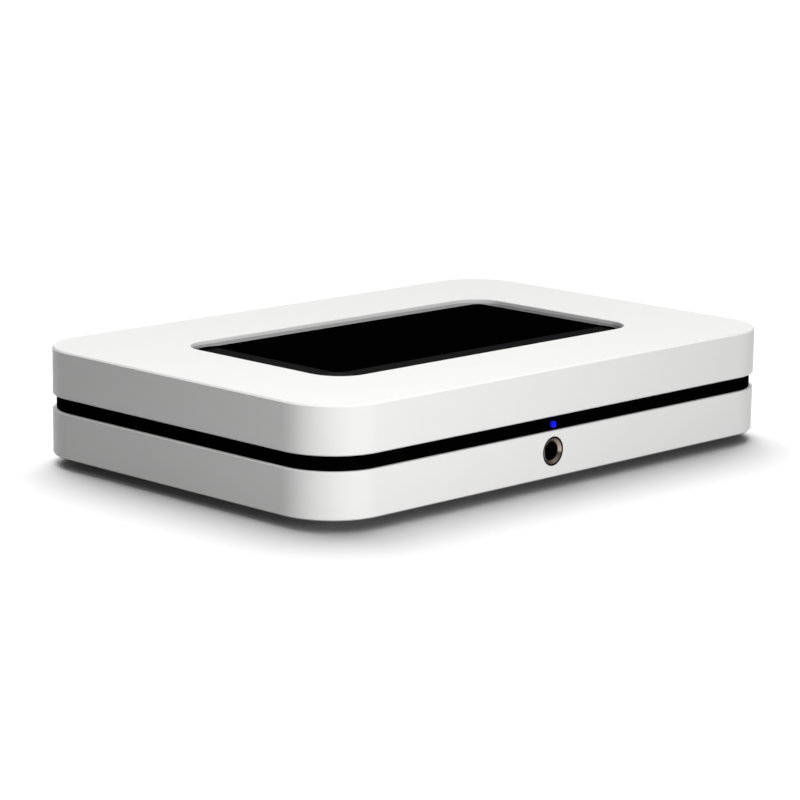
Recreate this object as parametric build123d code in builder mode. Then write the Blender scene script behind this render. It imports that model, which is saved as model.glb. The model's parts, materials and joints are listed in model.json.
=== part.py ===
from build123d import *
import os

# A flat network music streamer: two moulded shells with a black band between them, a bevelled
# glass panel sunk in the top, a headphone socket in front and a recessed bay of sockets behind.
# X runs along the width, the front faces -Y, and Z = 0 is the surface that the feet stand on.

# Case, in millimetres
WIDTH = 220.0
DEPTH = 146.0
CORNER_R = 20.5
LOWER_H = 15.5
BAND_H = 4.9
UPPER_H = 16.0
FOOT_H = 3.6
WALL = 2.5
TOP_EDGE = 0.5
BOTTOM_EDGE = 0.4
SEAM_EDGE = 0.3

# Band between the shells
BAND_INSET = 1.3
LIP_H = 2.0
LIP_T = 1.3

# Clearances and cuts
SLIP = 0.15
FIT = 0.05
OVERRUN = 1.0

# Round pieces and holes that are small or hidden have this many flat sides, to keep the mesh light
FEW_SIDES = 12

# Recess in the top and its glass panel
POCKET_W = 147.2
POCKET_D = 77.6
POCKET_R = 11.5
RIM_EDGE = 0.2
TRAY_T = 2.0
GLASS_GAP = 0.3
GLASS_SINK = 0.4
BEVEL_DROP = 0.9
BEVEL_RUN = 8.0
GLASS_EDGE_H = 1.7
TAPE_T = 0.2
TAPE_INSET = 3.6
TAPE_W = 5.0

# Feet
FOOT_R = 7.5
FOOT_INSET = 26.0

# Case screws and their bosses
BOSS_R = 4.0
BOSS_INSET = 13.0
SCREW_R = 1.45
SCREW_HOLE_R = 1.7
PILOT_R = 1.5
HEAD_R = 2.8
HEAD_H = 2.2
COUNTERBORE_R = 3.2
COUNTERBORE_DEPTH = 6.0
THREAD_GRIP = 9.0

# Rear bay and its panel
BAY_MARGIN = 2.0
BAY_WALL = 1.8
BAY_DEPTH = 9.4
BAY_RISE = 5.2
BAY_DROP = 6.6
BAY_R = 2.0
PANEL_T = 1.6
CUTOUT_GAP = 0.2

# Circuit boards, their standoffs and screws
BOARD_T = 1.6
BOARD_GAP = 2.0
STANDOFF_H = 2.3
STANDOFF_R = 3.0
BOARD_SCREW_R = 1.2
BOARD_PILOT_R = 1.25
BOARD_HOLE_R = 1.4
BOARD_HEAD_R = 2.3
BOARD_HEAD_H = 1.5
BOARD_GRIP = 3.0
BOARD_SCREW_INSET = 5.5
PART_GAP = 1.0

# Headphone socket
JACK_X = -8.0
JACK_DROP = 27.6
JACK_HOLE_R = 4.95
JACK_W = 13.0
JACK_H = 12.2
JACK_L = 28.0
SLEEVE_R = 4.55
SLEEVE_SEAT_R = 4.75
SLEEVE_BORE_R = 3.2
SLEEVE_L = 7.0
SLEEVE_BEVEL = 1.1
SLEEVE_BEVEL_DEPTH = 0.7
JACK_BORE_R = 3.5
JACK_BORE_L = 24.0

# Lamp and front board
LAMP_X = -7.4
LAMP_RISE = 2.1
LENS_R = 1.1
LENS_EDGE = 0.4
LENS_PROUD = 1.25
LENS_L = 3.9
FRONT_BOARD_W = 50.0
FRONT_BOARD_D = 27.0
LED_W = 3.2
LED_D = 1.6
LED_H = 2.0

# Rear sockets
INLET_W = 20.8
INLET_H = 12.2
INLET_D = 16.0
BEZEL_RIM = 0.9
BEZEL_T = 1.2
INLET_LOBE_R = 4.4
INLET_WAIST_H = 6.4
INLET_CAVITY = 12.0
INLET_PIN_PITCH = 8.6
INLET_PIN_R = 1.2
LAN_W = 16.0
LAN_H = 13.4
LAN_D = 21.0
USB_W = 14.0
USB_H = 6.6
USB_D = 14.0
HDMI_W = 15.0
HDMI_H = 6.2
HDMI_D = 12.0
OPTICAL_W = 13.4
MOUTH = 8.6
MINI_W = 8.6
MINI_H = 8.0
MINI_D = 13.0
MINI_BORE_R = 1.8
MINI_PITCH = 9.2
RCA_PITCH = 14.5
RCA_RISE = 12.6
RCA_SLEEVE_R = 4.15
RCA_SLEEVE_BORE_R = 3.5
RCA_SLEEVE_L = 8.6
RCA_PIN_BORE_R = 1.6
RCA_BLOCK_D = 10.0
RCA_BLOCK_EDGE = 5.0

# Main pieces on the boards
SINK_SIDE = 30.0
MEMORY_W = 9.0
AUDIO_CHIP_SIDE = 7.0
AUDIO_CHIP_PITCH = 11.0
SHIELD_CAN_W = 26.0
SHIELD_CAN_D = 20.0
SOCKET_W = 5.0
RIBBON_LEAD = 8.0
PLUG_W = 5.0
PLUG_D = 12.0
CORE_W = 24.0
CORE_D = 20.0
CHOKE_D = 14.0
BULK_R = 6.0
BULK_L = 24.0
FUSE_L = 20.0
PLATE_T = 1.6
PLATE_L = 22.0
POWER_CAP_R = 4.0
POWER_CAP_PITCH = 9.4

# Levels and edges that follow from the sizes above
lower_z = FOOT_H
floor_z = lower_z + WALL
seam_z = lower_z + LOWER_H
band_top_z = seam_z + BAND_H
top_z = band_top_z + UPPER_H
band_z = seam_z + BAND_H / 2
lamp_z = seam_z + LAMP_RISE
ceiling_z = top_z - WALL
front_y = -DEPTH / 2
rear_y = DEPTH / 2
lip_inset = WALL + SLIP + LIP_T

glass_t = GLASS_EDGE_H + BEVEL_DROP
pocket_depth = GLASS_SINK + glass_t + TAPE_T
pocket_z = top_z - pocket_depth
tray_z = pocket_z - TRAY_T

bay_w = WIDTH - 2 * CORNER_R - 2 * BAY_MARGIN
bay_low_z = lower_z + BAY_RISE
bay_high_z = top_z - BAY_DROP
bay_h = bay_high_z - bay_low_z
bay_z = (bay_low_z + bay_high_z) / 2
panel_y = rear_y - BAY_DEPTH
panel_in_y = panel_y - PANEL_T

board_z = floor_z + STANDOFF_H
board_top_z = board_z + BOARD_T

jack_z = top_z - JACK_DROP
jack_front_y = front_y + WALL
jack_rear_y = jack_front_y + JACK_L
front_board_z = jack_z + JACK_H / 2

boss_x = WIDTH / 2 - BOSS_INSET
boss_y = DEPTH / 2 - BOSS_INSET
boss_places = [(-boss_x, -boss_y), (-boss_x, boss_y), (boss_x, -boss_y), (boss_x, boss_y)]
boss_split_z = band_z
head_z = lower_z + COUNTERBORE_DEPTH

pieces = {}


def rear_plane(y):
    """A plane across the depth at y, drawn as X and Z, whose extrusions run towards the front."""
    return Plane.XZ.offset(-y)


def case_outline(inset, mode=Mode.ADD):
    """The rounded outline of the case, drawn smaller by the inset."""
    RectangleRounded(WIDTH - 2 * inset, DEPTH - 2 * inset, CORNER_R - inset, mode=mode)


def pocket_outline(inset, mode=Mode.ADD):
    """The rounded outline of the recess, drawn smaller by the inset."""
    RectangleRounded(POCKET_W - 2 * inset, POCKET_D - 2 * inset, POCKET_R - inset, mode=mode)


def coarse_round(radius, mode=Mode.ADD):
    """A round outline for a small or hidden piece or hole."""
    RegularPolygon(radius, FEW_SIDES, mode=mode)


def in_row(start, end, lengths):
    """Middles of pieces that stand in a row from start to end with equal gaps round them."""
    gap = (end - start - sum(lengths)) / (len(lengths) + 1)
    middles = []
    for length in lengths:
        middles.append(start + gap + length / 2)
        start += gap + length
    return middles


def rear_bay():
    """Lines the rear bay with its walls and opens it."""
    with BuildSketch(rear_plane(rear_y - WALL / 2)) as bay_walls:
        with Locations((0, bay_z)):
            RectangleRounded(bay_w + 2 * BAY_WALL, bay_h + 2 * BAY_WALL, BAY_R + BAY_WALL)
    extrude(bay_walls.sketch, amount=BAY_DEPTH - WALL / 2)
    with BuildSketch(rear_plane(rear_y + OVERRUN)) as bay_mouth:
        with Locations((0, bay_z)):
            RectangleRounded(bay_w, bay_h, BAY_R)
    extrude(bay_mouth.sketch, amount=BAY_DEPTH + 2 * OVERRUN, mode=Mode.SUBTRACT)


# Places along the rear panel
inlet_bezel_w = INLET_W + 2 * BEZEL_RIM
mini_row_w = 2 * MINI_PITCH + MINI_W
rca_block_w = RCA_PITCH + 2 * RCA_BLOCK_EDGE
socket_widths = (inlet_bezel_w, LAN_W, USB_W, HDMI_W, OPTICAL_W, mini_row_w, rca_block_w)
socket_xs = in_row(-bay_w / 2, bay_w / 2, socket_widths)
inlet_x, lan_x, usb_x, hdmi_x, optical_x, mini_x, rca_block_x = socket_xs
mini_xs = [mini_x + step * MINI_PITCH for step in (-1, 0, 1)]
rca_xs = [rca_block_x + step * RCA_PITCH / 2 for step in (-1, 1)]
board_split_x = (inlet_x + inlet_bezel_w / 2 + lan_x - LAN_W / 2) / 2

# Circuit boards: the mains board on the left, the main board on the right of it
power_x0 = -WIDTH / 2 + WALL + 2 * BOARD_GAP
power_x1 = board_split_x - BOARD_GAP / 2
main_x0 = board_split_x + BOARD_GAP / 2
main_x1 = bay_w / 2 - BOARD_GAP
board_rear_y = panel_in_y - SLIP
main_front_y = jack_rear_y + 2 * BOARD_GAP
power_front_y = front_y + BOSS_INSET + BOSS_R + 2 * BOARD_GAP
power_notch = BOSS_INSET + BOSS_R + BOARD_GAP


# The rear edges of both boards are carried by the sockets, so the screws are in the front corners
board_screw_places = [
    (main_x0 + BOARD_SCREW_INSET, main_front_y + BOARD_SCREW_INSET),
    (main_x1 - BOARD_SCREW_INSET, main_front_y + BOARD_SCREW_INSET),
    (power_x0 + BOARD_SCREW_INSET, power_front_y + BOARD_SCREW_INSET),
    (power_x1 - BOARD_SCREW_INSET, power_front_y + BOARD_SCREW_INSET),
]
main_clear_y = main_front_y + BOARD_SCREW_INSET + BOARD_HEAD_R
power_clear_y = power_front_y + BOARD_SCREW_INSET + BOARD_HEAD_R

# Plugs of the low-voltage cable face each other over the split between the boards
plug_y = main_clear_y + PART_GAP + PLUG_D / 2
plug_xs = [power_x1 - PLUG_W, main_x0 + PLUG_W]

# Rows on the main board: the shield can in front, then the large pieces side by side
lan_back_y = panel_y - LAN_D
can_y, middle_y = in_row(main_front_y, lan_back_y, (SHIELD_CAN_D, SINK_SIDE))
audio_w = 2 * AUDIO_CHIP_PITCH + AUDIO_CHIP_SIDE
main_row_widths = (MEMORY_W, SINK_SIDE, RIBBON_LEAD + SOCKET_W, audio_w)
memory_x, sink_x, ribbon_row_x, audio_x = in_row(main_x0 + 2 * PLUG_W, main_x1, main_row_widths)
small_cap_y = (middle_y + (AUDIO_CHIP_PITCH + AUDIO_CHIP_SIDE) / 2 + panel_y - MINI_D) / 2
shield_can_place = (main_x0 + 2 * PLUG_W + PART_GAP + SHIELD_CAN_W / 2, can_y)

# Columns on the mains board: the plate, bulk capacitor and fuse on the left, the rest on the right
left_column_x = power_x0 + PART_GAP + BULK_R
right_column_x = power_x1 - PART_GAP - CORE_W / 2
power_cap_x = power_x1 - 2 * PLUG_W - POWER_CAP_PITCH / 2 - POWER_CAP_R
plate_y, bulk_y, fuse_y = in_row(power_clear_y, rear_y - power_notch, (PLATE_L, BULK_L, FUSE_L))
power_cap_y = (power_clear_y + plug_y + PLUG_D / 2) / 2
core_y, choke_y = in_row(plug_y + PLUG_D / 2, panel_y - INLET_D, (CORE_D + 2 * OVERRUN, CHOKE_D))
front_board_y0 = front_y + lip_inset + SLIP
front_board_y1 = front_board_y0 + FRONT_BOARD_D

# Lower shell: tub with screw bosses, standoffs, socket hole and the lower half of the bay
with BuildPart() as bottom_shell:
    with BuildSketch(Plane.XY.offset(lower_z)):
        case_outline(0)
    extrude(amount=LOWER_H)
    chamfer(bottom_shell.faces().sort_by(Axis.Z)[0].edges(), BOTTOM_EDGE)
    chamfer(bottom_shell.faces().sort_by(Axis.Z)[-1].edges(), SEAM_EDGE)
    with BuildSketch(Plane.XY.offset(floor_z)):
        case_outline(WALL)
    extrude(amount=LOWER_H, mode=Mode.SUBTRACT)
    rear_bay()
    split(bisect_by=Plane.XY.offset(seam_z), keep=Keep.BOTTOM)
    with BuildSketch(Plane.XY.offset(floor_z)):
        with Locations(*boss_places):
            coarse_round(BOSS_R)
    extrude(amount=boss_split_z - floor_z)
    with BuildSketch(Plane.XY.offset(floor_z)):
        with Locations(*board_screw_places):
            coarse_round(STANDOFF_R)
    extrude(amount=STANDOFF_H)
    with BuildSketch(Plane.XY.offset(board_z - BOARD_GRIP)):
        with Locations(*board_screw_places):
            coarse_round(BOARD_PILOT_R)
    extrude(amount=BOARD_GRIP + OVERRUN, mode=Mode.SUBTRACT)
    with BuildSketch(Plane.XY.offset(lower_z - OVERRUN)):
        with Locations(*boss_places):
            coarse_round(COUNTERBORE_R)
    extrude(amount=COUNTERBORE_DEPTH + OVERRUN, mode=Mode.SUBTRACT)
    with BuildSketch(Plane.XY.offset(lower_z)):
        with Locations(*boss_places):
            coarse_round(SCREW_HOLE_R)
    extrude(amount=boss_split_z - lower_z + OVERRUN, mode=Mode.SUBTRACT)
    with BuildSketch(rear_plane(jack_front_y + OVERRUN)):
        with Locations((JACK_X, jack_z)):
            Circle(JACK_HOLE_R)
    extrude(amount=WALL + 2 * OVERRUN, mode=Mode.SUBTRACT)
pieces["bottom_shell"] = bottom_shell.part

# Upper shell: tub turned over, with the tray of the recess, screw bosses and the upper half of the bay
with BuildPart() as top_shell:
    with BuildSketch(Plane.XY.offset(band_top_z)):
        case_outline(0)
    extrude(amount=UPPER_H)
    chamfer(top_shell.faces().sort_by(Axis.Z)[-1].edges(), TOP_EDGE)
    chamfer(top_shell.faces().sort_by(Axis.Z)[0].edges(), SEAM_EDGE)
    with BuildSketch(Plane.XY.offset(ceiling_z)):
        case_outline(WALL)
    extrude(amount=-UPPER_H, mode=Mode.SUBTRACT)
    rear_bay()
    split(bisect_by=Plane.XY.offset(band_top_z), keep=Keep.TOP)
    with BuildSketch(Plane.XY.offset(tray_z)):
        pocket_outline(-TRAY_T)
    extrude(amount=top_z - WALL / 2 - tray_z)
    with BuildSketch(Plane.XY.offset(pocket_z)):
        pocket_outline(0)
    extrude(amount=pocket_depth + OVERRUN, mode=Mode.SUBTRACT)
    chamfer(top_shell.faces().sort_by(Axis.Z)[-1].inner_wires()[0].edges(), RIM_EDGE)
    with BuildSketch(Plane.XY.offset(boss_split_z)):
        with Locations(*boss_places):
            coarse_round(BOSS_R)
    extrude(amount=ceiling_z - boss_split_z)
    with BuildSketch(Plane.XY.offset(boss_split_z - OVERRUN)):
        with Locations(*boss_places):
            coarse_round(PILOT_R)
    extrude(amount=THREAD_GRIP + 2 * OVERRUN, mode=Mode.SUBTRACT)
pieces["top_shell"] = top_shell.part

# Band: a recessed ring whose lips nest inside both shells
with BuildPart() as center_band:
    with BuildSketch(Plane.XY.offset(seam_z - LIP_H)):
        case_outline(WALL + SLIP)
        case_outline(lip_inset, mode=Mode.SUBTRACT)
    extrude(amount=BAND_H + 2 * LIP_H)
    for lip_z in (seam_z - LIP_H / 2, band_top_z + LIP_H / 2):
        with BuildSketch(rear_plane(rear_y)):
            with Locations((0, lip_z)):
                Rectangle(bay_w + 2 * (BAY_WALL + SLIP), LIP_H)
        extrude(amount=BAY_DEPTH, mode=Mode.SUBTRACT)
    with BuildSketch(rear_plane(jack_front_y + LIP_T + OVERRUN)):
        with Locations((JACK_X, seam_z - LIP_H / 2)):
            Rectangle(JACK_W + 2 * OVERRUN, LIP_H)
    extrude(amount=LIP_T + 2 * OVERRUN, mode=Mode.SUBTRACT)
    with BuildSketch(Plane.XY.offset(seam_z)):
        case_outline(BAND_INSET)
        case_outline(lip_inset, mode=Mode.SUBTRACT)
    extrude(amount=BAND_H)
    with BuildSketch(Plane.XY.offset(seam_z)):
        with Locations((0, (panel_y + rear_y - WALL) / 2)):
            Rectangle(bay_w + 2 * BAY_WALL, rear_y - WALL - panel_y)
    extrude(amount=BAND_H)
    with BuildSketch(rear_plane(rear_y)):
        with Locations((0, band_z)):
            Rectangle(bay_w, BAND_H)
    extrude(amount=BAY_DEPTH, mode=Mode.SUBTRACT)
    with BuildSketch(rear_plane(jack_front_y + LIP_T + OVERRUN)):
        with Locations((LAMP_X, lamp_z)):
            Circle(LENS_R + FIT)
    extrude(amount=WALL + LIP_T + 2 * OVERRUN, mode=Mode.SUBTRACT)
pieces["center_band"] = center_band.part

# Glass panel with its wide bevel, and the adhesive frame under it
with BuildPart() as touch_glass:
    with BuildSketch(Plane.XY.offset(pocket_z + TAPE_T)):
        pocket_outline(GLASS_GAP)
    extrude(amount=glass_t)
    glass_top = touch_glass.faces().sort_by(Axis.Z)[-1]
    chamfer(glass_top.edges(), length=BEVEL_RUN, length2=BEVEL_DROP, reference=glass_top)
pieces["touch_glass"] = touch_glass.part

with BuildPart() as glass_tape:
    tape_w = POCKET_W - 2 * (GLASS_GAP + TAPE_INSET)
    tape_d = POCKET_D - 2 * (GLASS_GAP + TAPE_INSET)
    with BuildSketch(Plane.XY.offset(pocket_z)):
        Rectangle(tape_w, tape_d)
        Rectangle(tape_w - 2 * TAPE_W, tape_d - 2 * TAPE_W, mode=Mode.SUBTRACT)
    extrude(amount=TAPE_T)
pieces["glass_tape"] = glass_tape.part

# Feet: four rubber discs under the lower shell
with BuildPart() as feet:
    with BuildSketch(Plane.XY):
        with GridLocations(WIDTH - 2 * FOOT_INSET, DEPTH - 2 * FOOT_INSET, 2, 2):
            Circle(FOOT_R)
    extrude(amount=FOOT_H)
pieces["feet"] = feet.part

# Case screws, up through the lower bosses into the upper ones
with BuildPart() as case_screws:
    with BuildSketch(Plane.XY.offset(head_z - HEAD_H)):
        with Locations(*boss_places):
            coarse_round(HEAD_R)
    extrude(amount=HEAD_H)
    with BuildSketch(Plane.XY.offset(head_z - HEAD_H / 2)):
        with Locations(*boss_places):
            coarse_round(SCREW_R)
    extrude(amount=HEAD_H / 2 + boss_split_z - head_z + THREAD_GRIP)
pieces["case_screws"] = case_screws.part

# Heights of the rear sockets
inlet_z = board_top_z + INLET_H / 2
lan_z = board_top_z + LAN_H / 2
usb_z = board_top_z + USB_H / 2
hdmi_z = board_top_z + HDMI_H / 2
mini_z = board_top_z + MINI_H / 2
rca_zs = [board_top_z + RCA_BLOCK_EDGE, board_top_z + RCA_BLOCK_EDGE + RCA_RISE]
rca_places = [(x, z) for x in rca_xs for z in rca_zs]
rca_block_z = (rca_zs[0] + rca_zs[1]) / 2
rca_block_h = RCA_RISE + 2 * RCA_BLOCK_EDGE

# Optical socket: housing walls, stow space over the mouth and the flap's hinge line
OPTICAL_FRONT_WALL = 1.0
OPTICAL_REAR_WALL = 2.0
OPTICAL_ROOF = 1.0
OPTICAL_SILL = 0.5
OPTICAL_PROUD = 0.8
CAVITY_SIDE = 0.5
CAVITY_DEPTH = 11.2
HINGE_SETBACK = 1.0
HINGE_RISE = 0.6
STOW_H = 1.5
FLAP_T = 0.8
FLAP_GAP = 0.3
KNUCKLE_R = 0.75
STUB_R = 0.5
STUB_L = 1.2
STUB_SLACK = 0.07
EMITTER_R = 1.2
EMITTER_PROUD = 1.0

optical_face_y = panel_y + OPTICAL_PROUD
cavity_y = optical_face_y - OPTICAL_FRONT_WALL
hinge_y = cavity_y - HINGE_SETBACK
cavity_floor_z = board_top_z + OPTICAL_ROOF
mouth_low_z = cavity_floor_z + OPTICAL_SILL
mouth_z = mouth_low_z + MOUTH / 2
mouth_high_z = mouth_low_z + MOUTH
hinge_z = mouth_high_z + HINGE_RISE
cavity_top_z = mouth_high_z + STOW_H
cavity_w = MOUTH + 2 * CAVITY_SIDE
optical_h = cavity_top_z + OPTICAL_ROOF - board_top_z
optical_z = board_top_z + optical_h / 2
optical_d = OPTICAL_FRONT_WALL + CAVITY_DEPTH + OPTICAL_REAR_WALL

# Rear panel with a cut-out for each socket
with BuildPart() as rear_panel:
    with BuildSketch(rear_plane(panel_y)):
        with Locations((0, bay_z)):
            Rectangle(bay_w + 2 * BAY_WALL, bay_h + 2 * BAY_WALL)
        with Locations((inlet_x, inlet_z)):
            Rectangle(INLET_W + 2 * CUTOUT_GAP, INLET_H + 2 * CUTOUT_GAP, mode=Mode.SUBTRACT)
        with Locations((lan_x, lan_z)):
            Rectangle(LAN_W + 2 * CUTOUT_GAP, LAN_H + 2 * CUTOUT_GAP, mode=Mode.SUBTRACT)
        with Locations((usb_x, usb_z)):
            Rectangle(USB_W + 2 * CUTOUT_GAP, USB_H + 2 * CUTOUT_GAP, mode=Mode.SUBTRACT)
        with Locations((hdmi_x, hdmi_z)):
            Rectangle(HDMI_W + 2 * CUTOUT_GAP, HDMI_H + 2 * CUTOUT_GAP, mode=Mode.SUBTRACT)
        with Locations((optical_x, optical_z)):
            Rectangle(OPTICAL_W + 2 * CUTOUT_GAP, optical_h + 2 * CUTOUT_GAP, mode=Mode.SUBTRACT)
        with Locations((mini_x, mini_z)):
            Rectangle(mini_row_w + 2 * CUTOUT_GAP, MINI_H + 2 * CUTOUT_GAP, mode=Mode.SUBTRACT)
        with Locations((rca_block_x, rca_block_z)):
            Rectangle(rca_block_w + 2 * CUTOUT_GAP, rca_block_h + 2 * CUTOUT_GAP, mode=Mode.SUBTRACT)
    extrude(amount=PANEL_T)
pieces["rear_panel"] = rear_panel.part

# Mains inlet: a figure-eight well with two pins
with BuildPart() as power_inlet:
    with BuildSketch(rear_plane(panel_y)):
        with Locations((inlet_x, inlet_z)):
            Rectangle(INLET_W, INLET_H)
    extrude(amount=INLET_D)
    with BuildSketch(rear_plane(panel_y + BEZEL_T)):
        with Locations((inlet_x, inlet_z)):
            Rectangle(inlet_bezel_w, INLET_H + 2 * BEZEL_RIM)
    extrude(amount=BEZEL_T)
    with BuildSketch(rear_plane(panel_y + BEZEL_T + OVERRUN)):
        with Locations((inlet_x - INLET_PIN_PITCH / 2, inlet_z), (inlet_x + INLET_PIN_PITCH / 2, inlet_z)):
            Circle(INLET_LOBE_R)
        with Locations((inlet_x, inlet_z)):
            Rectangle(INLET_PIN_PITCH, INLET_WAIST_H)
    extrude(amount=INLET_CAVITY + OVERRUN, mode=Mode.SUBTRACT)
pieces["power_inlet"] = power_inlet.part

with BuildPart() as inlet_pins:
    with BuildSketch(rear_plane(panel_y + BEZEL_T - INLET_PIN_R)):
        with Locations((inlet_x - INLET_PIN_PITCH / 2, inlet_z), (inlet_x + INLET_PIN_PITCH / 2, inlet_z)):
            coarse_round(INLET_PIN_R)
    extrude(amount=INLET_CAVITY - INLET_PIN_R)
pieces["inlet_pins"] = inlet_pins.part

# Network socket: plastic body with a stepped mouth for the plug's latch, sheet shield, eight contacts
SHIELD_T = 0.3
LAN_MOUTH_W = 11.8
LAN_MOUTH_H = 7.0
LAN_LATCH_W = 6.4
LAN_LATCH_H = 1.6
LAN_MOUTH_DEPTH = 14.0
LAN_MOUTH_RISE = 0.6
LAN_PROUD = 0.6
LAN_CONTACTS = 8
LAN_CONTACT_PITCH = 1.02
LAN_CONTACT_W = 0.4
LAN_CONTACT_L = 9.0

lan_face_y = panel_y + LAN_PROUD
lan_mouth_z = lan_z + LAN_MOUTH_RISE
lan_inner_w = LAN_W - 2 * (SHIELD_T + FIT)
lan_inner_h = LAN_H - SHIELD_T - FIT

with BuildPart() as lan_socket:
    with BuildSketch(rear_plane(lan_face_y)):
        with Locations((lan_x, board_top_z + lan_inner_h / 2)):
            Rectangle(lan_inner_w, lan_inner_h)
    extrude(amount=LAN_D - SHIELD_T - FIT)
    with BuildSketch(rear_plane(lan_face_y + OVERRUN)):
        with Locations((lan_x, lan_mouth_z)):
            Rectangle(LAN_MOUTH_W, LAN_MOUTH_H)
        with Locations((lan_x, lan_mouth_z - (LAN_MOUTH_H + LAN_LATCH_H) / 2)):
            Rectangle(LAN_LATCH_W, LAN_LATCH_H)
    extrude(amount=LAN_MOUTH_DEPTH + OVERRUN, mode=Mode.SUBTRACT)
pieces["lan_socket"] = lan_socket.part

with BuildPart() as lan_shield:
    with BuildSketch(rear_plane(lan_face_y)):
        with Locations((lan_x, lan_z)):
            Rectangle(LAN_W, LAN_H)
    extrude(amount=LAN_D)
    with BuildSketch(rear_plane(lan_face_y + OVERRUN)):
        with Locations((lan_x, board_top_z + (lan_inner_h + FIT - OVERRUN) / 2)):
            Rectangle(LAN_W - 2 * SHIELD_T, lan_inner_h + FIT + OVERRUN)
    extrude(amount=LAN_D - SHIELD_T + OVERRUN, mode=Mode.SUBTRACT)
pieces["lan_shield"] = lan_shield.part

with BuildPart() as lan_contacts:
    lan_contact_z = lan_mouth_z + LAN_MOUTH_H / 2 - LAN_CONTACT_W / 2
    with BuildSketch(rear_plane(lan_face_y - LAN_CONTACT_W)):
        with Locations((lan_x, lan_contact_z)):
            with GridLocations(LAN_CONTACT_PITCH, LAN_CONTACT_W, LAN_CONTACTS, 1):
                Rectangle(LAN_CONTACT_W, LAN_CONTACT_W)
    extrude(amount=LAN_CONTACT_L)
pieces["lan_contacts"] = lan_contacts.part

# Universal serial bus socket: folded shell round a tongue
PORT_SHELL_T = 0.4
PORT_PROUD = 0.6
USB_TONGUE_W = 11.2
USB_TONGUE_T = 1.8
USB_TONGUE_L = 9.0
HDMI_TONGUE_W = 11.0
HDMI_TONGUE_T = 1.0
HDMI_TONGUE_L = 7.5
HDMI_SLOPE = 1.8

port_face_y = panel_y + PORT_PROUD
usb_base_d = USB_D - USB_TONGUE_L - OVERRUN
hdmi_base_d = HDMI_D - HDMI_TONGUE_L - OVERRUN

with BuildPart() as usb_shell:
    with BuildSketch(rear_plane(port_face_y)):
        with Locations((usb_x, usb_z)):
            Rectangle(USB_W, USB_H)
            Rectangle(USB_W - 2 * PORT_SHELL_T, USB_H - 2 * PORT_SHELL_T, mode=Mode.SUBTRACT)
    extrude(amount=USB_D)
pieces["usb_shell"] = usb_shell.part

with BuildPart() as usb_tongue:
    with BuildSketch(rear_plane(port_face_y - OVERRUN)):
        with Locations((usb_x, usb_z + USB_TONGUE_T / 2)):
            Rectangle(USB_TONGUE_W, USB_TONGUE_T)
    extrude(amount=USB_TONGUE_L)
    with BuildSketch(rear_plane(port_face_y - OVERRUN - USB_TONGUE_L)):
        with Locations((usb_x, usb_z)):
            Rectangle(USB_W - 2 * (PORT_SHELL_T + FIT), USB_H - 2 * (PORT_SHELL_T + FIT))
    extrude(amount=usb_base_d)
pieces["usb_tongue"] = usb_tongue.part

# High definition port: shell with sloped lower corners round a thin tongue
def hdmi_outline(inset, mode=Mode.ADD):
    """The port's outline, narrower at the bottom, drawn smaller by the inset."""
    half_w = HDMI_W / 2 - inset
    half_h = HDMI_H / 2 - inset
    with BuildLine() as port_line:
        Polyline(
            (hdmi_x - half_w, hdmi_z + half_h),
            (hdmi_x + half_w, hdmi_z + half_h),
            (hdmi_x + half_w, hdmi_z - half_h + HDMI_SLOPE),
            (hdmi_x + half_w - HDMI_SLOPE, hdmi_z - half_h),
            (hdmi_x - half_w + HDMI_SLOPE, hdmi_z - half_h),
            (hdmi_x - half_w, hdmi_z - half_h + HDMI_SLOPE),
            close=True,
        )
    make_face(port_line.edges(), mode=mode)


with BuildPart() as hdmi_shell:
    with BuildSketch(rear_plane(port_face_y)):
        hdmi_outline(0)
        hdmi_outline(PORT_SHELL_T, mode=Mode.SUBTRACT)
    extrude(amount=HDMI_D)
pieces["hdmi_shell"] = hdmi_shell.part

with BuildPart() as hdmi_tongue:
    with BuildSketch(rear_plane(port_face_y - OVERRUN)):
        with Locations((hdmi_x, hdmi_z)):
            Rectangle(HDMI_TONGUE_W, HDMI_TONGUE_T)
    extrude(amount=HDMI_TONGUE_L)
    with BuildSketch(rear_plane(port_face_y - OVERRUN - HDMI_TONGUE_L)):
        hdmi_outline(PORT_SHELL_T + FIT)
    extrude(amount=hdmi_base_d)
pieces["hdmi_tongue"] = hdmi_tongue.part

# Optical socket housing: square mouth, cavity with room to stow the flap, holes for its stub pins
with BuildPart() as optical_output:
    with BuildSketch(rear_plane(optical_face_y)):
        with Locations((optical_x, optical_z)):
            Rectangle(OPTICAL_W, optical_h)
    extrude(amount=optical_d)
    with BuildSketch(rear_plane(optical_face_y + OVERRUN)):
        with Locations((optical_x, mouth_z)):
            Rectangle(MOUTH, MOUTH)
    extrude(amount=OPTICAL_FRONT_WALL + 2 * OVERRUN, mode=Mode.SUBTRACT)
    with BuildSketch(rear_plane(cavity_y)):
        with Locations((optical_x, (cavity_floor_z + cavity_top_z) / 2)):
            Rectangle(cavity_w, cavity_top_z - cavity_floor_z)
    extrude(amount=CAVITY_DEPTH, mode=Mode.SUBTRACT)
    with BuildSketch(Plane.YZ.offset(optical_x - cavity_w / 2 - STUB_L)):
        with Locations((hinge_y, hinge_z)):
            coarse_round(STUB_R + STUB_SLACK)
    extrude(amount=cavity_w + 2 * STUB_L, mode=Mode.SUBTRACT)
    with BuildSketch(rear_plane(cavity_y - CAVITY_DEPTH)):
        with Locations((optical_x, mouth_z)):
            coarse_round(EMITTER_R + FIT)
    extrude(amount=OPTICAL_REAR_WALL, mode=Mode.SUBTRACT)
pieces["optical_output"] = optical_output.part

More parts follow.
